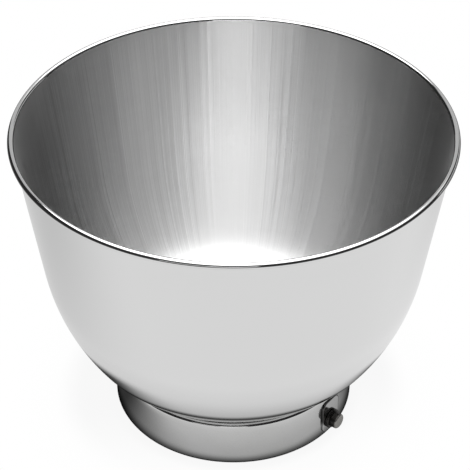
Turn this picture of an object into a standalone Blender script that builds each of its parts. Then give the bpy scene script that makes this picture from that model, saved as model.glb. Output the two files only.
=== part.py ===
"""Stainless steel bowl for a stand mixer, with a foot ring that locks into the mixer's base.

The bowl is one drawn sheet with a rolled rim. A pressed foot ring is spot-welded under its floor.
Two studs riveted through flat pads on the foot ring turn into the mixer's base and hold the bowl.
The origin is on the bowl's axis, on the surface that the foot stands on. The front is -Y.
"""
import math

import bmesh
import bpy
from mathutils import Matrix, Vector

MM = 0.001

# Bowl, measured on its outer face
RIM_RADIUS = 111.0 * MM
BOWL_DEPTH = 138.9 * MM
BOWL_SHEET = 0.8 * MM
BEAD_RADIUS = 1.6 * MM
BEAD_SLIT = 0.4 * MM
WALL_TAPER = math.radians(8.6)
BELLY_RADIUS = 118.0 * MM
BELLY_END_LEAN = math.radians(33)
CORNER_RADIUS = 42.0 * MM

# Foot ring, measured on its outer face
FOOT_RADIUS = 63.3 * MM
FOOT_HEIGHT = 27.1 * MM
FOOT_SHEET = 1.0 * MM
SHOULDER_RADIUS = 2.0 * MM
HEM_RADIUS = 2.5 * MM
HEM_WIDTH = 3.0 * MM
WELD_LAND = 8.0 * MM

# Locking studs, on opposite sides of the foot ring
STUD_AZIMUTH = math.radians(53)
STUD_HEIGHT = 10.4 * MM
COLLAR_RADIUS = 5.3 * MM
COLLAR_THICKNESS = 1.6 * MM
COLLAR_CHAMFER = 0.4 * MM
PIN_RADIUS = 4.1 * MM
PIN_LENGTH = 3.8 * MM
PIN_ROUNDING = 1.0 * MM
SHANK_RADIUS = 2.0 * MM
TAIL_RADIUS = 3.6 * MM
TAIL_THICKNESS = 1.4 * MM

# Flat pads pressed out of the foot ring's wall, where the studs sit
PAD_RISE = 0.7 * MM
PAD_BESIDE_COLLAR = 1.7 * MM
PAD_UNDER_SHOULDER = 1.9 * MM
PAD_OVER_HEM = 0.7 * MM
PAD_CORNER = 4.0 * MM
PAD_EDGE = 0.4 * MM

# Air left between pieces that touch
SEAT_GAP = 0.3 * MM

# Facets: round the axis, round the studs, and along each bend of the sheets
RING_STEPS = 64
STUD_STEPS = 20
CORNER_STEPS = 8
BELLY_STEPS = 6
BEAD_STEPS = 12
FOLD_STEPS = 4
ROUNDING_STEPS = 3
PAD_CORNER_STEPS = 5
PAD_EDGE_STEPS = 2
MERGE_DISTANCE = 0.01 * MM
SHARP_ANGLE = math.radians(35)


def clear_scene():
    for old in list(bpy.data.objects):
        bpy.data.objects.remove(old, do_unlink=True)


def steel(name, colour, roughness):
    material = bpy.data.materials.new(name)
    material.use_nodes = True
    shader = material.node_tree.nodes["Principled BSDF"]
    shader.inputs["Base Color"].default_value = (*colour, 1.0)
    shader.inputs["Metallic"].default_value = 1.0
    shader.inputs["Roughness"].default_value = roughness
    return material


class SheetPath:
    """Middle line of a bent sheet, walked in a plane through the axis: x is the radius, y the height."""

    def __init__(self, start, heading):
        self.place = Vector(start)
        self.heading = heading
        self.stations = []
        self.mark()

    def mark(self):
        side = Vector((-math.sin(self.heading), math.cos(self.heading)))
        self.stations.append((self.place.copy(), side))

    def straight(self, length):
        self.place += length * Vector((math.cos(self.heading), math.sin(self.heading)))
        self.mark()

    def bend(self, radius, angle, steps):
        """Turn to the left by an angle, or to the right where it is negative."""
        turn = math.copysign(1.0, angle)
        side = turn * Vector((-math.sin(self.heading), math.cos(self.heading)))
        centre = self.place + radius * side
        for _ in range(steps):
            self.heading += angle / steps
            side = turn * Vector((-math.sin(self.heading), math.cos(self.heading)))
            self.place = centre - radius * side
            self.mark()

    def section(self, thickness):
        """Both faces of the sheet as one outline: out along the right face and back along the left."""
        right = [place - side * thickness / 2 for place, side in self.stations]
        left = [place + side * thickness / 2 for place, side in self.stations]
        return right + left[::-1]


def turned_mesh(name, outline, steps, closed):
    """Spin an outline of (radius, height) points about Z. An open outline starts and ends on the axis."""
    bm = bmesh.new()
    verts = [bm.verts.new((point[0], 0.0, point[1])) for point in outline]
    edges = [bm.edges.new(pair) for pair in zip(verts, verts[1:])]
    if closed:
        edges.append(bm.edges.new((verts[-1], verts[0])))
    bmesh.ops.spin(bm, geom=verts + edges, cent=(0, 0, 0), axis=(0, 0, 1), angle=math.tau,
                   steps=steps, use_merge=True)
    bmesh.ops.remove_doubles(bm, verts=bm.verts, dist=MERGE_DISTANCE)
    bmesh.ops.recalc_face_normals(bm, faces=bm.faces)
    return finished_mesh(name, bm)


def finished_mesh(name, bm):
    mesh = bpy.data.meshes.new(name)
    bm.to_mesh(mesh)
    bm.free()
    mesh.shade_smooth()
    mesh.set_sharp_from_angle(angle=SHARP_ANGLE)
    return mesh


def add_object(name, mesh, material=None):
    obj = bpy.data.objects.new(name, mesh)
    bpy.context.scene.collection.objects.link(obj)
    if material:
        mesh.materials.append(material)
    return obj


def aim_outwards(obj, azimuth, height):
    """Local Z points out from the bowl's axis, local Y points up. Azimuth runs from -Y towards +X."""
    obj.location = (0, 0, height)
    obj.rotation_euler = (math.pi / 2, 0, azimuth)


def boolean(target, tool, operation):
    """Join or cut with a tool object, which is hidden afterwards."""
    modifier = target.modifiers.new(tool.name, "BOOLEAN")
    modifier.operation = operation
    modifier.solver = "EXACT"
    modifier.object = tool
    tool.hide_render = True
    tool.display_type = "WIRE"


def bowl_path():
    """Floor, bottom corner, belly, straight wall and rolled bead, which stops a slit short of the wall.

    The rim, the depth and the bends are given, and the floor's radius follows from them.
    """
    half = BOWL_SHEET / 2
    floor = FOOT_HEIGHT + SEAT_GAP + half
    bead_line = BEAD_RADIUS - half
    bead = Vector((RIM_RADIUS - BEAD_RADIUS, FOOT_HEIGHT + SEAT_GAP + BOWL_DEPTH - BEAD_RADIUS))
    wall_heading = math.pi / 2 - WALL_TAPER
    corner_heading = math.pi / 2 - BELLY_END_LEAN
    corner = CORNER_RADIUS - half
    belly = BELLY_RADIUS - half

    wall_top = bead - bead_line * Vector((math.sin(wall_heading), -math.cos(wall_heading)))
    rise_of_bends = corner * (1 - math.cos(corner_heading))
    rise_of_bends += belly * (math.cos(corner_heading) - math.cos(wall_heading))
    wall_length = (wall_top.y - floor - rise_of_bends) / math.sin(wall_heading)
    reach_of_bends = corner * math.sin(corner_heading)
    reach_of_bends += belly * (math.sin(wall_heading) - math.sin(corner_heading))
    floor_radius = wall_top.x - wall_length * math.cos(wall_heading) - reach_of_bends

    bead_turn = math.tau - math.acos((BEAD_RADIUS - BOWL_SHEET - BEAD_SLIT) / BEAD_RADIUS)
    path = SheetPath((0, floor), 0.0)
    path.straight(floor_radius)
    path.bend(corner, corner_heading, CORNER_STEPS)
    path.bend(belly, wall_heading - corner_heading, BELLY_STEPS)
    path.straight(wall_length)
    path.bend(bead_line, -bead_turn, BEAD_STEPS)
    return path, floor_radius


def foot_path(floor_radius):
    """Flat hem to stand on, upright wall, rounded shoulder, and a flange that runs in under the bowl."""
    half = FOOT_SHEET / 2
    path = SheetPath((FOOT_RADIUS - HEM_RADIUS - HEM_WIDTH, half), 0.0)
    path.straight(HEM_WIDTH)
    path.bend(HEM_RADIUS - half, math.pi / 2, FOLD_STEPS)
    path.straight(FOOT_HEIGHT - HEM_RADIUS - SHOULDER_RADIUS)
    path.bend(SHOULDER_RADIUS - half, math.pi / 2, FOLD_STEPS)
    path.straight(FOOT_RADIUS - SHOULDER_RADIUS - floor_radius + WELD_LAND)
    return path


def pad_block(name, azimuth, inset, back, face, edge):
    """The pad's rounded outline, drawn in by an inset, as a block between two distances off the axis."""
    low = HEM_RADIUS + PAD_OVER_HEM
    high = FOOT_HEIGHT - SHOULDER_RADIUS - PAD_UNDER_SHOULDER
    width = 2 * (COLLAR_RADIUS + PAD_BESIDE_COLLAR - inset)
    height = high - low - 2 * inset
    bm = bmesh.new()
    place = Matrix.Translation((0, 0, (back + face) / 2)) @ Matrix.Diagonal((width, height, face - back, 1))
    bmesh.ops.create_cube(bm, size=1.0, matrix=place)
    corners = [e for e in bm.edges if abs(e.verts[0].co.z - e.verts[1].co.z) > (face - back) / 2]
    bmesh.ops.bevel(bm, geom=corners, offset=PAD_CORNER - inset, affect="EDGES",
                    segments=PAD_CORNER_STEPS, profile=0.5, material=-1)
    if edge:
        rim = [e for e in bm.edges if min(v.co.z for v in e.verts) > face - edge / 2]
        bmesh.ops.bevel(bm, geom=rim, offset=edge, affect="EDGES", segments=PAD_EDGE_STEPS, profile=0.5,
                        material=-1)
    bmesh.ops.recalc_face_normals(bm, faces=bm.faces)
    block = add_object(name, finished_mesh(name, bm))
    aim_outwards(block, azimuth, (low + high) / 2)
    return block


def press_pad(foot, side, azimuth):
    """Raise a flat pad on the foot's wall, hollow it from behind to the sheet's thickness and drill it."""
    wall_middle = FOOT_RADIUS - FOOT_SHEET / 2
    inner_end = wall_middle / 2
    face = FOOT_RADIUS + PAD_RISE
    bottom, top = -FOOT_HEIGHT, 2 * FOOT_HEIGHT

    core_outline = [(0, bottom), (wall_middle, bottom), (wall_middle, top), (0, top)]
    core = add_object("core_" + side, turned_mesh("core", core_outline, RING_STEPS, False))
    pad = pad_block("pad_" + side, azimuth, 0.0, inner_end, face, PAD_EDGE)
    boolean(pad, core, "DIFFERENCE")
    boolean(foot, pad, "UNION")

    hollow = pad_block("hollow_" + side, azimuth, FOOT_SHEET, inner_end, face - FOOT_SHEET, 0.0)
    boolean(foot, hollow, "DIFFERENCE")

    hole = SHANK_RADIUS + SEAT_GAP
    drill_outline = [(0, inner_end), (hole, inner_end), (hole, 2 * face), (0, 2 * face)]
    drill = add_object("drill_" + side, turned_mesh("drill", drill_outline, STUD_STEPS, False))
    aim_outwards(drill, azimuth, STUD_HEIGHT)
    boolean(foot, drill, "DIFFERENCE")


def stud_outline():
    """Radii of the stud, from its clenched tail inside the foot to the rounded end of its pin."""
    seat = FOOT_RADIUS + PAD_RISE + SEAT_GAP
    inside = FOOT_RADIUS + PAD_RISE - FOOT_SHEET - SEAT_GAP
    tail_end = inside - TAIL_THICKNESS
    collar_top = seat + COLLAR_THICKNESS
    pin_end = collar_top + PIN_LENGTH
    outline = [
        (0, tail_end),
        (TAIL_RADIUS - TAIL_THICKNESS / 2, tail_end),
        (TAIL_RADIUS, tail_end + TAIL_THICKNESS / 2),
        (TAIL_RADIUS, inside),
        (SHANK_RADIUS, inside),
        (SHANK_RADIUS, seat),
        (COLLAR_RADIUS, seat),
        (COLLAR_RADIUS, collar_top - COLLAR_CHAMFER),
        (COLLAR_RADIUS - COLLAR_CHAMFER, collar_top),
        (PIN_RADIUS, collar_top),
    ]
    for step in range(ROUNDING_STEPS + 1):
        angle = step / ROUNDING_STEPS * math.pi / 2
        outline.append((PIN_RADIUS - PIN_ROUNDING * (1 - math.cos(angle)),
                        pin_end - PIN_ROUNDING * (1 - math.sin(angle))))
    outline.append((0, pin_end))
    return outline


def build():
    clear_scene()
    root = bpy.data.objects.new("mixer_bowl", None)
    bpy.context.scene.collection.objects.link(root)

    path, floor_radius = bowl_path()
    shell_steel = steel("satin_inside_polished_outside", (0.72, 0.72, 0.71), 0.22)
    shell_mesh = turned_mesh("bowl_shell", path.section(BOWL_SHEET), RING_STEPS, False)
    shell = add_object("bowl_shell", shell_mesh, shell_steel)
    shell.parent = root

    foot_steel = steel("polished_steel", (0.68, 0.68, 0.67), 0.12)
    foot_mesh = turned_mesh("foot_ring", foot_path(floor_radius).section(FOOT_SHEET), RING_STEPS, True)
    foot = add_object("foot_ring", foot_mesh, foot_steel)
    foot.parent = root

    stud_steel = steel("darkened_steel", (0.16, 0.16, 0.16), 0.35)
    stud_mesh = turned_mesh("locking_stud", stud_outline(), STUD_STEPS, False)
    stud_mesh.materials.append(stud_steel)
    for side, azimuth in (("front", STUD_AZIMUTH), ("back", STUD_AZIMUTH + math.pi)):
        press_pad(foot, side, azimuth)
        stud = add_object("locking_stud_" + side, stud_mesh)
        aim_outwards(stud, azimuth, STUD_HEIGHT)
        stud.parent = root


build()
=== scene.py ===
"""Stand mixer bowl in polished stainless steel, on a foot ring with two locking studs.

Everything is in metres, in the part's own frame: the axis is Z, the table is at z = 0, the front is -Y.
"""

import math

import bmesh
import bpy
from mathutils import Matrix, Vector


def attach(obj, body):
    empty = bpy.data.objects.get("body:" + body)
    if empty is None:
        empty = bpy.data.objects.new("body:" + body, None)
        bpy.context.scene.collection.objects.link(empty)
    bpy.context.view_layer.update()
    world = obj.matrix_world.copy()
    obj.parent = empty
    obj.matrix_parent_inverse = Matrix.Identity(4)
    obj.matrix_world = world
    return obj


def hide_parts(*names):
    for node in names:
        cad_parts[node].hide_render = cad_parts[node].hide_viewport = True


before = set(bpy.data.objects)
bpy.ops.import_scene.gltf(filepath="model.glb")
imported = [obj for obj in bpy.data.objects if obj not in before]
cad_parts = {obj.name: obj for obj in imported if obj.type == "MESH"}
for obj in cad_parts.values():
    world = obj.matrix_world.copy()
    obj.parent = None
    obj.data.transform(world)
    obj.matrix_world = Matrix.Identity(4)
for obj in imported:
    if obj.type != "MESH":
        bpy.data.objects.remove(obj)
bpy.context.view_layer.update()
MM = 0.001


# Drawn bowl: one sheet of 18/10 stainless steel, 0.8 mm thick, deep drawn and rolled outwards at the rim.
# The inside is brushed round the axis with fine abrasive, and the outside and the bead are polished bright.
RIM_RADIUS = 111.0 * MM
BOWL_DEPTH = 138.9 * MM
BOWL_FLOOR = 27.4 * MM
BOWL_SHEET = 0.8 * MM
BEAD_RADIUS = 1.6 * MM
BEAD_SLIT = 0.4 * MM
WALL_TAPER = math.radians(8.6)
BELLY_RADIUS = 118.0 * MM
BELLY_END_LEAN = math.radians(33)
CORNER_RADIUS = 42.0 * MM
BOWL_TURNS = 256
MERGE_WITHIN = 0.002 * MM
SHARP_FOLD = math.radians(35)
LOOKS_UP = 0.9


class SheetPath:
    """Middle line of a bent sheet in a plane through the axis. Every station keeps its place and its side."""

    def __init__(self, start, heading=0.0):
        self.place = Vector(start)
        self.heading = heading
        self.stations = []
        self.mark()

    def mark(self):
        side = Vector((-math.sin(self.heading), math.cos(self.heading)))
        self.stations.append((self.place.copy(), side))

    def straight(self, length, steps):
        for _ in range(steps):
            self.place += length / steps * Vector((math.cos(self.heading), math.sin(self.heading)))
            self.mark()

    def bend(self, radius, angle, steps):
        turn = math.copysign(1.0, angle)
        centre = self.place + radius * turn * Vector((-math.sin(self.heading), math.cos(self.heading)))
        for _ in range(steps):
            self.heading += angle / steps
            self.place = centre - radius * turn * Vector((-math.sin(self.heading), math.cos(self.heading)))
            self.mark()

    def section(self, thickness):
        right = [place - side * thickness / 2 for place, side in self.stations]
        left = [place + side * thickness / 2 for place, side in self.stations]
        return right + left[::-1]


def spin_outline(bm, outline, steps, closed=False):
    """Turn an outline of (radius, height) points right round Z, and close its poles and its seam."""
    verts = [bm.verts.new((point[0], 0.0, point[1])) for point in outline]
    edges = [bm.edges.new(pair) for pair in zip(verts, verts[1:])]
    if closed:
        edges.append(bm.edges.new((verts[-1], verts[0])))
    bmesh.ops.spin(bm, geom=verts + edges, cent=(0, 0, 0), axis=(0, 0, 1), angle=math.tau,
                   steps=steps, use_merge=True)
    bmesh.ops.remove_doubles(bm, verts=bm.verts, dist=MERGE_WITHIN)
    bmesh.ops.recalc_face_normals(bm, faces=bm.faces)


def piece_from(bm, name, sharp=SHARP_FOLD):
    """Give a finished mesh smooth faces, an object at the origin and its ride on the part."""
    mesh = bpy.data.meshes.new(name)
    bm.to_mesh(mesh)
    bm.free()
    mesh.shade_smooth()
    mesh.set_sharp_from_angle(angle=sharp)
    piece = bpy.data.objects.new(name, mesh)
    bpy.context.scene.collection.objects.link(piece)
    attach(piece, "root")
    return piece


half = BOWL_SHEET / 2
bead = Vector((RIM_RADIUS - BEAD_RADIUS, BOWL_FLOOR + BOWL_DEPTH - BEAD_RADIUS))
wall_heading = math.pi / 2 - WALL_TAPER
corner_heading = math.pi / 2 - BELLY_END_LEAN
corner, belly = CORNER_RADIUS - half, BELLY_RADIUS - half
wall_top = bead - (BEAD_RADIUS - half) * Vector((math.sin(wall_heading), -math.cos(wall_heading)))
rise = corner * (1 - math.cos(corner_heading)) + belly * (math.cos(corner_heading) - math.cos(wall_heading))
wall_length = (wall_top.y - BOWL_FLOOR - half - rise) / math.sin(wall_heading)
reach = corner * math.sin(corner_heading) + belly * (math.sin(wall_heading) - math.sin(corner_heading))
floor_radius = wall_top.x - wall_length * math.cos(wall_heading) - reach
bead_turn = math.tau - math.acos((BEAD_RADIUS - BOWL_SHEET - BEAD_SLIT) / BEAD_RADIUS)

path = SheetPath((0, BOWL_FLOOR + half))
path.straight(floor_radius, steps=6)
path.bend(corner, corner_heading, steps=20)
path.bend(belly, wall_heading - corner_heading, steps=12)
path.straight(wall_length, steps=10)
path.bend(BEAD_RADIUS - half, -bead_turn, steps=24)
bm = bmesh.new()
spin_outline(bm, path.section(BOWL_SHEET), BOWL_TURNS)
bowl = piece_from(bm, "bowl_shell_drawn")
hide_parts("bowl_shell")


def linear(code):
    """The linear colour of an sRGB hex code."""
    parts = [int(code[k:k + 2], 16) / 255 for k in (1, 3, 5)]
    return (*[c / 12.92 if c <= 0.04045 else ((c + 0.055) / 1.055) ** 2.4 for c in parts], 1.0)


def new_finish(name):
    """An empty material, and its tree."""
    finish = bpy.data.materials.new(name)
    finish.use_nodes = True
    finish.node_tree.nodes.clear()
    return finish, finish.node_tree


def node(tree, kind, links=None, **settings):
    """Add one node, with its settings, its sockets' values and the sockets that feed it."""
    made = tree.nodes.new(kind)
    for key, value in settings.items():
        setattr(made, key, value)
    for socket, source in (links or {}).items():
        if isinstance(source, bpy.types.NodeSocket):
            tree.links.new(source, made.inputs[socket])
        else:
            made.inputs[socket].default_value = source
    return made


def marks_round_axis(tree, place, spacing, detail):
    """Noise drawn out round the axis, like the marks of an abrasive on a turning part, and the way from the axis."""
    spot = node(tree, "ShaderNodeSeparateXYZ", {0: place})
    flat = node(tree, "ShaderNodeVectorMath", {0: place, 1: Vector((1, 1, 0))}, operation="MULTIPLY")
    way = node(tree, "ShaderNodeVectorMath", {0: flat.outputs[0]}, operation="NORMALIZE")
    lift = node(tree, "ShaderNodeMath", {0: spot.outputs["Z"], 1: 1 / spacing}, operation="MULTIPLY")
    rings = node(tree, "ShaderNodeCombineXYZ", {0: lift.outputs[0]})
    spread = node(tree, "ShaderNodeVectorMath", {0: way.outputs[0], 1: rings.outputs[0]}, operation="ADD")
    marks = node(tree, "ShaderNodeTexNoise", {"Vector": spread.outputs[0], "Scale": 1.0, "Detail": detail})
    return marks.outputs["Fac"], way.outputs[0]


# Bright polish outside: a nearly perfect mirror, with a faint haze of buffing marks that run round the axis. The
# marks are drawn 0.5 mm apart, far coarser than real ones, so that they show at all. Noise keeps to the middle of
# its range, so that part is what each finish spreads over its own levels.
NOISE_MIDDLE = {"From Min": 0.3, "From Max": 0.7}
CLOUD_SIZE = 40.0 * MM
BUFF_SPACING = 0.5 * MM
BUFF_DEPTH = 0.05 * MM
polished, tree = new_finish("bright_polished_stainless_steel")
place = node(tree, "ShaderNodeTexCoord").outputs["Object"]
cloud = node(tree, "ShaderNodeTexNoise", {"Vector": place, "Scale": 1 / CLOUD_SIZE, "Detail": 3.0})
haze = node(tree, "ShaderNodeMapRange", {
    "Value": cloud.outputs["Fac"], **NOISE_MIDDLE, "To Min": 0.05, "To Max": 0.085})
marks = marks_round_axis(tree, place, BUFF_SPACING, detail=2.0)[0]
buffed = node(tree, "ShaderNodeBump", {"Height": marks, "Strength": 0.02, "Distance": BUFF_DEPTH})
shader = node(tree, "ShaderNodeBsdfPrincipled", {
    "Base Color": linear("#d4d4d4"), "Metallic": 1.0, "Roughness": haze.outputs["Result"],
    "Normal": buffed.outputs["Normal"]})
node(tree, "ShaderNodeOutputMaterial", {"Surface": shader.outputs["BSDF"]})

# Satin brush inside: the abrasive ran round the axis, as the tangent does, so reflections are drawn out a quarter
# turn from it, into upright streaks. The sheet is slightly wavy from the drawing, which breaks the streaks up. Brush
# lines 0.3 mm apart stand for real ones a tenth of that, which would not show.
BRUSH_SPACING = 0.3 * MM
BRUSH_DEPTH = 0.05 * MM
WAVES_ROUND = 7.0
WAVE_DEPTH = 0.4 * MM
QUARTER_TURN = 0.25
brushed, tree = new_finish("satin_brushed_stainless_steel")
place = node(tree, "ShaderNodeTexCoord").outputs["Object"]
lines, way = marks_round_axis(tree, place, BRUSH_SPACING, detail=3.0)
sheen = node(tree, "ShaderNodeMapRange", {"Value": lines, **NOISE_MIDDLE, "To Min": 0.29, "To Max": 0.31})
waves = node(tree, "ShaderNodeTexNoise", {"Vector": way, "Scale": WAVES_ROUND, "Detail": 5.0, "Roughness": 0.65})
wavy = node(tree, "ShaderNodeBump", {"Height": waves.outputs["Fac"], "Strength": 1.0, "Distance": WAVE_DEPTH})
brush = node(tree, "ShaderNodeBump", {
    "Height": lines, "Strength": 0.015, "Distance": BRUSH_DEPTH, "Normal": wavy.outputs["Normal"]})
tangent = node(tree, "ShaderNodeTangent", direction_type="RADIAL", axis="Z")
shader = node(tree, "ShaderNodeBsdfPrincipled", {
    "Base Color": linear("#dadada"), "Metallic": 1.0, "Roughness": sheen.outputs["Result"], "Anisotropic": 1.0,
    "Anisotropic Rotation": QUARTER_TURN, "Tangent": tangent.outputs["Tangent"],
    "Normal": brush.outputs["Normal"]})
node(tree, "ShaderNodeOutputMaterial", {"Surface": shader.outputs["BSDF"]})

# The brush reached the faces that look inwards or up, from the floor to just under the bead.
bowl.data.materials.append(polished)
bowl.data.materials.append(brushed)
for face in bowl.data.polygons:
    centre = face.center
    inward = -face.normal.x * centre.x - face.normal.y * centre.y
    inside = centre.z > BOWL_FLOOR + half and (inward > 0 or face.normal.z > LOOKS_UP)
    if inside and centre.z < bead.y - BEAD_RADIUS / 2:
        face.material_index = 1


# Foot ring: a second stainless sheet, 1 mm thick, spot-welded by its flange under the bowl's floor.
# Its wall turns in at the table to a hem that the bowl stands on. Two flat pads are pressed out of the wall
# on opposite sides, each drilled for a stud.
FOOT_RADIUS = 63.3 * MM
FOOT_HEIGHT = 27.1 * MM
FOOT_SHEET = 1.0 * MM
SHOULDER_RADIUS = 2.0 * MM
HEM_RADIUS = 2.5 * MM
HEM_WIDTH = 3.0 * MM
WELD_LAND = 8.0 * MM
PAD_RISE = 0.7 * MM
PAD_WIDTH = 14.0 * MM
PAD_LOW = 3.2 * MM
PAD_HIGH = 23.2 * MM
PAD_CORNER = 4.0 * MM
PAD_EDGE = 0.4 * MM
PAD_CORNER_STEPS = 12
PAD_EDGE_STEPS = 4
DRILLED_HOLE = 2.3 * MM
HOLE_TURNS = 48
STUD_HEIGHT = 10.4 * MM
STUD_AZIMUTHS = {"front": math.radians(53), "back": math.radians(233)}
FOOT_TURNS = 360


def facing(azimuth, height):
    """Turn a tool made along Z so that it points out of the foot's wall, with its Y upwards."""
    return (Matrix.Translation((0, 0, height)) @ Matrix.Rotation(azimuth, 4, "Z")
            @ Matrix.Rotation(math.pi / 2, 4, "X"))


def tool_from(bm, place):
    """A cutting or joining tool, which goes once it has been used."""
    bmesh.ops.recalc_face_normals(bm, faces=bm.faces)
    bmesh.ops.transform(bm, matrix=place, verts=bm.verts)
    mesh = bpy.data.meshes.new("tool")
    bm.to_mesh(mesh)
    bm.free()
    tool = bpy.data.objects.new("tool", mesh)
    bpy.context.scene.collection.objects.link(tool)
    return tool


def apply_tool(work, tool, operation):
    """Join or cut a piece with a tool, and keep the result as the piece's own mesh."""
    modifier = work.modifiers.new("tool", "BOOLEAN")
    modifier.operation = operation
    modifier.solver = "EXACT"
    modifier.object = tool
    result = bpy.data.meshes.new_from_object(work.evaluated_get(bpy.context.evaluated_depsgraph_get()))
    work.modifiers.clear()
    work.data = result
    bpy.data.objects.remove(tool)


def pad_tool(inset, back, face, edge=0.0):
    """The pad's rounded outline, drawn in by an inset, as a block between two distances off the axis."""
    bm = bmesh.new()
    size = (PAD_WIDTH - 2 * inset, PAD_HIGH - PAD_LOW - 2 * inset, face - back, 1)
    middle = Matrix.Translation((0, 0, (back + face) / 2))
    bmesh.ops.create_cube(bm, size=1.0, matrix=middle @ Matrix.Diagonal(size))
    corners = [e for e in bm.edges if abs(e.verts[0].co.z - e.verts[1].co.z) > (face - back) / 2]
    bmesh.ops.bevel(bm, geom=corners, offset=PAD_CORNER - inset, affect="EDGES", segments=PAD_CORNER_STEPS,
                    profile=0.5, material=-1)
    if edge:
        rim = [e for e in bm.edges if min(v.co.z for v in e.verts) > face - edge / 2]
        bmesh.ops.bevel(bm, geom=rim, offset=edge, affect="EDGES", segments=PAD_EDGE_STEPS, profile=0.5,
                        material=-1)
        front = [f for f in bm.faces if min(v.co.z for v in f.verts) > face - edge / 100]
        bmesh.ops.inset_region(bm, faces=front, thickness=edge)
    return bm


half = FOOT_SHEET / 2
path = SheetPath((FOOT_RADIUS - HEM_RADIUS - HEM_WIDTH, half))
path.straight(HEM_WIDTH, steps=2)
path.bend(HEM_RADIUS - half, math.pi / 2, steps=10)
path.straight(FOOT_HEIGHT - HEM_RADIUS - SHOULDER_RADIUS, steps=8)
path.bend(SHOULDER_RADIUS - half, math.pi / 2, steps=10)
path.straight(FOOT_RADIUS - SHOULDER_RADIUS - floor_radius + WELD_LAND, steps=4)
bm = bmesh.new()
spin_outline(bm, path.section(FOOT_SHEET), FOOT_TURNS, closed=True)
foot = piece_from(bm, "foot_ring_pressed")

# Each pad starts as a rounded block, cut off round the axis in the middle of the wall's sheet and joined to the
# wall. Behind it the wall is hollowed to one sheet's thickness, and then the hole is drilled.
wall_middle = FOOT_RADIUS - half
pad_face = FOOT_RADIUS + PAD_RISE
for azimuth in STUD_AZIMUTHS.values():
    placed = facing(azimuth, (PAD_LOW + PAD_HIGH) / 2)
    pad = tool_from(pad_tool(0.0, wall_middle / 2, pad_face, PAD_EDGE), placed)
    bm = bmesh.new()
    spin_outline(bm, [(0, -FOOT_HEIGHT), (wall_middle, -FOOT_HEIGHT), (wall_middle, 2 * FOOT_HEIGHT),
                      (0, 2 * FOOT_HEIGHT)], FOOT_TURNS)
    apply_tool(pad, tool_from(bm, Matrix.Identity(4)), "DIFFERENCE")
    apply_tool(foot, pad, "UNION")
    hollow = pad_tool(FOOT_SHEET, wall_middle / 2, pad_face - FOOT_SHEET)
    apply_tool(foot, tool_from(hollow, placed), "DIFFERENCE")
    bm = bmesh.new()
    spin_outline(bm, [(0, wall_middle / 2), (DRILLED_HOLE, wall_middle / 2), (DRILLED_HOLE, 2 * pad_face),
                      (0, 2 * pad_face)], HOLE_TURNS)
    apply_tool(foot, tool_from(bm, facing(azimuth, STUD_HEIGHT)), "DIFFERENCE")
foot.data.shade_smooth()
foot.data.set_sharp_from_angle(angle=SHARP_FOLD)
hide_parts("foot_ring")

# A mirror polish. Its colour is a shade greyer than the bowl's, which is painted shade for the foot's place under
# the bowl. The pressing left the sheet very slightly uneven, which makes reflections waver, and handling left it
# hazy
# and a little warm in places. A dark line about 1 mm wide is painted into the crease round each pad's upper half:
# painted shade where the pad's step meets the wall.
HANDLED_SIZE = 25.0 * MM
UNEVEN_SIZE = 30.0 * MM
UNEVEN_DEPTH = 0.4 * MM
FOOT_BUFF_SPACING = 0.4 * MM
CREASE_SHADE_CORE = 0.35 * MM
CREASE_SHADE_END = 0.8 * MM
CREASE_SHADE_FADE = 2.0 * MM
UP = Vector((0, 0, 1))
bright, tree = new_finish("mirror_polished_foot_steel")
place = node(tree, "ShaderNodeTexCoord").outputs["Object"]
handled = node(tree, "ShaderNodeTexNoise", {"Vector": place, "Scale": 1 / HANDLED_SIZE, "Detail": 4.0})
warmth = node(tree, "ShaderNodeMapRange", {
    "Value": handled.outputs["Fac"], **NOISE_MIDDLE, "To Min": 0.0, "To Max": 1.0})
haze = node(tree, "ShaderNodeMapRange", {
    "Value": handled.outputs["Fac"], **NOISE_MIDDLE, "To Min": 0.07, "To Max": 0.15})
# Painted shade: the foot's steel is greyer than the bowl's, with a faint warm tone at random.
shaded_tint = node(tree, "ShaderNodeMix", {
    "Factor": warmth.outputs["Result"], "A": linear("#c8c8c8"), "B": linear("#c2c2c1")}, data_type="RGBA")
uneven = node(tree, "ShaderNodeTexNoise", {"Vector": place, "Scale": 1 / UNEVEN_SIZE, "Detail": 1.0})
pressed = node(tree, "ShaderNodeBump", {
    "Height": uneven.outputs["Fac"], "Strength": 1.0, "Distance": UNEVEN_DEPTH})
marks = marks_round_axis(tree, place, FOOT_BUFF_SPACING, detail=2.0)[0]
buffed = node(tree, "ShaderNodeBump", {
    "Height": marks, "Strength": 0.04, "Distance": BUFF_DEPTH, "Normal": pressed.outputs["Normal"]})

# The crease follows the pads' outline, so the distance to it is that to a rounded rectangle on the wall.
outward = facing(STUD_AZIMUTHS["front"], 0).to_3x3() @ UP
sideways = node(tree, "ShaderNodeVectorMath", {0: place, 1: outward.cross(UP)}, operation="DOT_PRODUCT")
upwards = node(tree, "ShaderNodeVectorMath", {0: place, 1: UP}, operation="DOT_PRODUCT")
spans = (
    (sideways, 0.0, PAD_WIDTH / 2 - PAD_CORNER),
    (upwards, (PAD_LOW + PAD_HIGH) / 2, (PAD_HIGH - PAD_LOW) / 2 - PAD_CORNER))
beyond = []
for span, middle, straight in spans:
    from_middle = node(tree, "ShaderNodeMath", {0: span.outputs["Value"], 1: middle}, operation="SUBTRACT")
    size = node(tree, "ShaderNodeMath", {0: from_middle.outputs[0]}, operation="ABSOLUTE")
    past = node(tree, "ShaderNodeMath", {0: size.outputs[0], 1: straight}, operation="SUBTRACT")
    beyond.append(node(tree, "ShaderNodeMath", {0: past.outputs[0], 1: 0.0}, operation="MAXIMUM").outputs[0])
to_corner = node(tree, "ShaderNodeCombineXYZ", {0: beyond[0], 1: beyond[1]})
outline = node(tree, "ShaderNodeVectorMath", {0: to_corner.outputs[0]}, operation="LENGTH")
off_crease = node(tree, "ShaderNodeMath", {0: outline.outputs["Value"], 1: PAD_CORNER}, operation="SUBTRACT")
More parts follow.
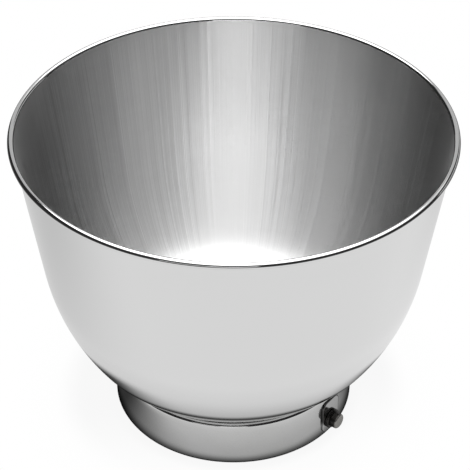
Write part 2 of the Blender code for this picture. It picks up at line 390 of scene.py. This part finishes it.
crease = node(tree, "ShaderNodeMath", {0: off_crease.outputs[0]}, operation="ABSOLUTE")
# Painted shade: the crease is darkened, only above the stud's height.
crease_shade = node(tree, "ShaderNodeMapRange", {
    "Value": crease.outputs[0], "From Min": CREASE_SHADE_CORE, "From Max": CREASE_SHADE_END, "To Min": 0.9, "To Max": 0.0},
    interpolation_type="SMOOTHSTEP")
above_stud = node(tree, "ShaderNodeMapRange", {
    "Value": upwards.outputs["Value"], "From Min": STUD_HEIGHT - CREASE_SHADE_FADE,
    "From Max": STUD_HEIGHT + CREASE_SHADE_FADE}, interpolation_type="SMOOTHSTEP")
painted_crease_shade = node(tree, "ShaderNodeMath", {
    0: crease_shade.outputs["Result"], 1: above_stud.outputs["Result"]}, operation="MULTIPLY")
crease_shaded = node(tree, "ShaderNodeMix", {
    "Factor": painted_crease_shade.outputs[0], "A": shaded_tint.outputs[2], "B": linear("#2b2a29")}, data_type="RGBA")
shader = node(tree, "ShaderNodeBsdfPrincipled", {
    "Base Color": crease_shaded.outputs[2], "Metallic": 1.0, "Roughness": haze.outputs["Result"],
    "Normal": buffed.outputs["Normal"]})
node(tree, "ShaderNodeOutputMaterial", {"Surface": shader.outputs["BSDF"]})
foot.data.materials.clear()
foot.data.materials.append(bright)


# Locking studs: turned steel, painted dark as painted shade. Each has a collar against its pad, a pin
# that the base's catch holds, a shank through the pad and a tail that was clenched over inside the foot.
COLLAR_RADIUS = 5.3 * MM
COLLAR_THICKNESS = 1.6 * MM
COLLAR_CHAMFER = 0.4 * MM
PIN_RADIUS = 4.1 * MM
PIN_LENGTH = 3.8 * MM
PIN_ROUNDING = 1.0 * MM
PIN_ROUNDING_STEPS = 8
SHANK_RADIUS = 2.0 * MM
TAIL_RADIUS = 3.6 * MM
TAIL_THICKNESS = 1.4 * MM
SEAT_GAP = 0.3 * MM
STUD_TURNS = 64
STUD_SHARP_FOLD = math.radians(30)
seat = pad_face + SEAT_GAP
inside = pad_face - FOOT_SHEET - SEAT_GAP
tail_end = inside - TAIL_THICKNESS
collar_top = seat + COLLAR_THICKNESS
pin_end = collar_top + PIN_LENGTH
profile = [
    (0, tail_end), (TAIL_RADIUS - TAIL_THICKNESS / 2, tail_end), (TAIL_RADIUS, tail_end + TAIL_THICKNESS / 2),
    (TAIL_RADIUS, inside), (SHANK_RADIUS, inside), (SHANK_RADIUS, seat), (COLLAR_RADIUS, seat),
    (COLLAR_RADIUS, collar_top - COLLAR_CHAMFER), (COLLAR_RADIUS - COLLAR_CHAMFER, collar_top),
    (PIN_RADIUS, collar_top)]
for step in range(PIN_ROUNDING_STEPS + 1):
    angle = step / PIN_ROUNDING_STEPS * math.pi / 2
    profile.append((PIN_RADIUS - PIN_ROUNDING * (1 - math.cos(angle)),
                    pin_end - PIN_ROUNDING * (1 - math.sin(angle))))
profile.append((0, pin_end))

# Both studs lie on one line through the axis. Turning left fine grooves round that line, on the sides and on the
# ends alike. The steel is painted dark all over, as painted shade, and mottled at random in patches, and the pins'
# ends are painted lighter along the grooves, as a painted highlight.
GROOVE_SPACING = 0.25 * MM
GROOVE_DEPTH = 0.03 * MM
OXIDE_PATCH = 2.5 * MM
HIGHLIGHT_LENGTH = 1.2 * MM
dark, tree = new_finish("darkened_turned_steel")
place = node(tree, "ShaderNodeTexCoord").outputs["Object"]
from_line = node(tree, "ShaderNodeVectorMath", {0: place, 1: STUD_HEIGHT * UP}, operation="SUBTRACT")
along = node(tree, "ShaderNodeVectorMath", {0: place, 1: outward}, operation="DOT_PRODUCT")
out = node(tree, "ShaderNodeMath", {0: along.outputs["Value"]}, operation="ABSOLUTE")
across = node(tree, "ShaderNodeVectorMath", {0: from_line.outputs[0], 1: outward}, operation="CROSS_PRODUCT")
off = node(tree, "ShaderNodeVectorMath", {0: across.outputs[0]}, operation="LENGTH")
both = node(tree, "ShaderNodeMath", {0: out.outputs[0], 1: off.outputs["Value"]}, operation="SUBTRACT")
grooves = node(tree, "ShaderNodeTexNoise", {
    "W": both.outputs[0], "Scale": 1 / GROOVE_SPACING, "Detail": 2.0}, noise_dimensions="1D")
turned = node(tree, "ShaderNodeBump", {
    "Height": grooves.outputs["Fac"], "Strength": 0.4, "Distance": GROOVE_DEPTH})
mottle = node(tree, "ShaderNodeTexNoise", {"Vector": place, "Scale": 1 / OXIDE_PATCH, "Detail": 4.0})
patches = node(tree, "ShaderNodeMapRange", {
    "Value": mottle.outputs["Fac"], **NOISE_MIDDLE, "To Min": 0.0, "To Max": 1.0})
dullness = node(tree, "ShaderNodeMapRange", {
    "Value": mottle.outputs["Fac"], **NOISE_MIDDLE, "To Min": 0.28, "To Max": 0.45})
# Painted shade: the studs' steel is painted dark, mottled at random.
shaded_patchy = node(tree, "ShaderNodeMix", {
    "Factor": patches.outputs["Result"], "A": linear("#302f2f"), "B": linear("#4c4a48")}, data_type="RGBA")
# Painted highlight: the pins' ends are painted lighter, broken up along the grooves.
toward_end = node(tree, "ShaderNodeMapRange", {
    "Value": out.outputs[0], "From Min": pin_end - HIGHLIGHT_LENGTH, "From Max": pin_end, "To Max": 0.85},
    interpolation_type="SMOOTHSTEP")
along_grooves = node(tree, "ShaderNodeMapRange", {
    "Value": grooves.outputs["Fac"], **NOISE_MIDDLE, "To Min": 0.5, "To Max": 1.0})
painted_end_highlight = node(tree, "ShaderNodeMath", {
    0: toward_end.outputs["Result"], 1: along_grooves.outputs["Result"]}, operation="MULTIPLY")
steel = node(tree, "ShaderNodeMix", {
    "Factor": painted_end_highlight.outputs[0], "A": shaded_patchy.outputs[2], "B": linear("#b0aeaa")}, data_type="RGBA")
shader = node(tree, "ShaderNodeBsdfPrincipled", {
    "Base Color": steel.outputs[2], "Metallic": 1.0, "Roughness": dullness.outputs["Result"],
    "Normal": turned.outputs["Normal"]})
node(tree, "ShaderNodeOutputMaterial", {"Surface": shader.outputs["BSDF"]})
for side, azimuth in STUD_AZIMUTHS.items():
    bm = bmesh.new()
    spin_outline(bm, profile, STUD_TURNS)
    bmesh.ops.transform(bm, matrix=facing(azimuth, STUD_HEIGHT), verts=bm.verts)
    stud = piece_from(bm, "locking_stud_" + side + "_turned", sharp=STUD_SHARP_FOLD)
    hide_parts("locking_stud_" + side)
    stud.data.materials.append(dark)


# Studio: a pale paper table, 6 m across, which the camera sees nearly white. What the steel mirrors of it is darker
# close round the foot and under the bowl, where the object keeps the light off, and towards the back and left and
# past 0.4 m, where the lights fall off: the rim and the bends under the belly mirror that part as thin dark lines.
TABLE_HALF = 3.0
SHADE_REACH = 60.0 * MM
SHADE_POWER = 0.3
UNSHADED_TO_CAMERA = 0.93
table_mesh = bmesh.new()
bmesh.ops.create_grid(table_mesh, x_segments=1, y_segments=1, size=TABLE_HALF)
mesh = bpy.data.meshes.new("table")
table_mesh.to_mesh(mesh)
table_mesh.free()
table = bpy.data.objects.new("table", mesh)
bpy.context.scene.collection.objects.link(table)
pale, tree = new_finish("white_table_paper")
paper = node(tree, "ShaderNodeBsdfPrincipled", {"Base Color": linear("#f4f4f4"), "Roughness": 0.9})
shade = node(tree, "ShaderNodeAmbientOcclusion", {"Distance": SHADE_REACH}, samples=8)
close = node(tree, "ShaderNodeMath", {0: shade.outputs["AO"], 1: SHADE_POWER}, operation="POWER")
place = node(tree, "ShaderNodeTexCoord").outputs["Object"]
off_axis = node(tree, "ShaderNodeVectorMath", {0: place}, operation="LENGTH")
back_below = node(tree, "ShaderNodeVectorMath", {0: place, 1: Vector((-0.2, 1, 0))}, operation="DOT_PRODUCT")
back_around = node(tree, "ShaderNodeVectorMath", {0: place, 1: Vector((-0.35, 1, 0))}, operation="DOT_PRODUCT")

# A ramp changes the paper's level along one of these measures: between two places, in mm, from one level to another.
ramps = {}
for name, measure, start, end, before, after in (
        ("touching", off_axis, 63.5, 71, 0.08, 1.0),
        ("near", off_axis, 60, 97, 0.72, 1.0),
        ("below", back_below, -66, 0, 1.0, 0.08),
        ("open", off_axis, 80, 98, 0.0, 1.0),
        ("edge", off_axis, 380, 460, 1.0, 0.08),
        ("dimmer", back_around, -100, 140, 1.0, 0.72)):
    ramps[name] = node(tree, "ShaderNodeMapRange", {
        "Value": measure.outputs["Value"], "From Min": start * MM, "From Max": end * MM, "To Min": before,
        "To Max": after}, interpolation_type="SMOOTHSTEP").outputs["Result"]
under = node(tree, "ShaderNodeMix", {"Factor": ramps["open"], "A": ramps["below"], "B": 1.0}, data_type="FLOAT")
shadow = close.outputs[0]
for share in (under.outputs["Result"], ramps["touching"], ramps["near"]):
    shadow = node(tree, "ShaderNodeMath", {0: shadow, 1: share}, operation="MULTIPLY").outputs[0]
rays = node(tree, "ShaderNodeLightPath")
to_camera = rays.outputs["Is Camera Ray"]
lifted = node(tree, "ShaderNodeMath", {0: to_camera, 1: UNSHADED_TO_CAMERA}, operation="MULTIPLY")
ground = node(tree, "ShaderNodeMix", {"Factor": lifted.outputs[0], "A": shadow, "B": 1.0}, data_type="FLOAT")
edge = node(tree, "ShaderNodeMath", {0: ramps["edge"], 1: ramps["dimmer"]}, operation="MULTIPLY")
seen_edge = node(tree, "ShaderNodeMath", {0: edge.outputs[0], 1: to_camera}, operation="MAXIMUM")
level = node(tree, "ShaderNodeMath", {
    0: ground.outputs["Result"], 1: seen_edge.outputs[0]}, operation="MULTIPLY")
white = node(tree, "ShaderNodeEmission", {"Strength": level.outputs[0]})
direct = node(tree, "ShaderNodeMath", {0: to_camera, 1: rays.outputs["Is Glossy Ray"]}, operation="ADD")
shown = node(tree, "ShaderNodeMath", {
    0: direct.outputs[0], 1: rays.outputs["Is Transmission Ray"]}, operation="ADD", use_clamp=True)
mix = node(tree, "ShaderNodeMixShader", {
    0: shown.outputs[0], 1: paper.outputs["BSDF"], 2: white.outputs["Emission"]})
node(tree, "ShaderNodeOutputMaterial", {"Surface": mix.outputs["Shader"]})
mesh.materials.append(pale)

# The camera stands in front and looks down at the bowl, from the place and with the lens that fit its outline.
LENS_PIXELS = 1803.5
PICTURE = 470
SENSOR = 36
TILT = math.radians(36.55)
DISTANCE = 8.326 * RIM_RADIUS
AIM_HEIGHT = 0.909 * RIM_RADIUS
AXIS_PIXEL = 233.73
ROLL = math.radians(0.15)
camera = bpy.data.objects.new("camera", bpy.data.cameras.new("camera"))
camera.data.sensor_width = SENSOR
camera.data.lens = LENS_PIXELS / PICTURE * SENSOR
camera.data.clip_start = 10 * MM
back = Vector((0, -math.cos(TILT), math.sin(TILT)))
aim = Vector(((PICTURE / 2 - AXIS_PIXEL) / LENS_PIXELS * DISTANCE, 0, AIM_HEIGHT))
camera.matrix_world = (Matrix.Translation(aim + back * DISTANCE)
                       @ back.to_track_quat("Z", "Y").to_matrix().to_4x4() @ Matrix.Rotation(ROLL, 4, "Z"))
bpy.context.scene.collection.objects.link(camera)
bpy.context.scene.camera = camera

# The studio is dark, so that the steel shows its form. A round soft box overhead has its lean to the right and to
# the back and its radius, in degrees, and its strength. A low panel near the horizon has the bearings that it spans,
# from straight in front and to the right, and its lowest and highest edge, in degrees, and its strength.
ROUND_BOXES = ((0, 18, 31, 2.75), (0, 0, 36, 0.55), (7, 8, 43, 0.8), (0, 0, 43, 0.4))
LOW_PANELS = (
    (-34, -11, 0, 16, 0.75), (-11, 11, 0, 16, 1.38), (110, 150, 0, 16, 0.6), (150, 210, 0, 40, 0.6))
SOFT_EDGE = math.radians(0.75)
ROOM = 0.03
world = bpy.data.worlds.new("studio")
bpy.context.scene.world = world
world.use_nodes = True
tree = world.node_tree
tree.nodes.clear()
direction = node(tree, "ShaderNodeTexCoord").outputs["Generated"]


def angle_from(source, axis):
    """The angle between a direction and an axis."""
    along = node(tree, "ShaderNodeVectorMath", {0: source, 1: axis}, operation="DOT_PRODUCT")
    return node(tree, "ShaderNodeMath", {0: along.outputs["Value"]}, operation="ARCCOSINE").outputs[0]


# Each light is a list of angles with their limits. It shows where all of them are within their limits, and its
# strength goes with the first.
lights = []
for right, rear, radius, strength in ROUND_BOXES:
    lean = math.radians(math.hypot(right, rear))
    around = math.atan2(right, rear)
    axis = Vector((math.sin(lean) * math.sin(around), math.sin(lean) * math.cos(around), math.cos(lean)))
    lights.append([(angle_from(direction, axis), math.radians(radius), strength)])
flat = node(tree, "ShaderNodeVectorMath", {0: direction, 1: Vector((1, 1, 0))}, operation="MULTIPLY")
level_way = node(tree, "ShaderNodeVectorMath", {0: flat.outputs[0]}, operation="NORMALIZE")
from_horizon = node(tree, "ShaderNodeMath", {0: math.pi / 2, 1: angle_from(direction, UP)}, operation="SUBTRACT")
for first, last, lowest, highest, strength in LOW_PANELS:
    middle = math.radians(first + last) / 2
    toward = Vector((math.sin(middle), -math.cos(middle), 0))
    off_middle = node(tree, "ShaderNodeMath", {
        0: from_horizon.outputs[0], 1: math.radians(lowest + highest) / 2}, operation="SUBTRACT")
    off = node(tree, "ShaderNodeMath", {0: off_middle.outputs[0]}, operation="ABSOLUTE")
    lights.append([
        (angle_from(level_way.outputs[0], toward), math.radians(last - first) / 2, strength),
        (off.outputs[0], math.radians(highest - lowest) / 2, 1.0)])
total = ROOM
for angles in lights:
    light = 1.0
    for angle, limit, strength in angles:
        within = node(tree, "ShaderNodeMapRange", {
            "Value": angle, "From Min": limit - SOFT_EDGE, "From Max": limit + SOFT_EDGE, "To Min": strength,
            "To Max": 0.0})
        light = node(tree, "ShaderNodeMath", {
            0: light, 1: within.outputs["Result"]}, operation="MULTIPLY").outputs[0]
    total = node(tree, "ShaderNodeMath", {0: total, 1: light}, operation="ADD").outputs[0]
background = node(tree, "ShaderNodeBackground", {"Color": (1, 1, 1, 1), "Strength": total})
node(tree, "ShaderNodeOutputWorld", {"Surface": background.outputs["Background"]})
bpy.context.scene.view_settings.view_transform = "Standard"
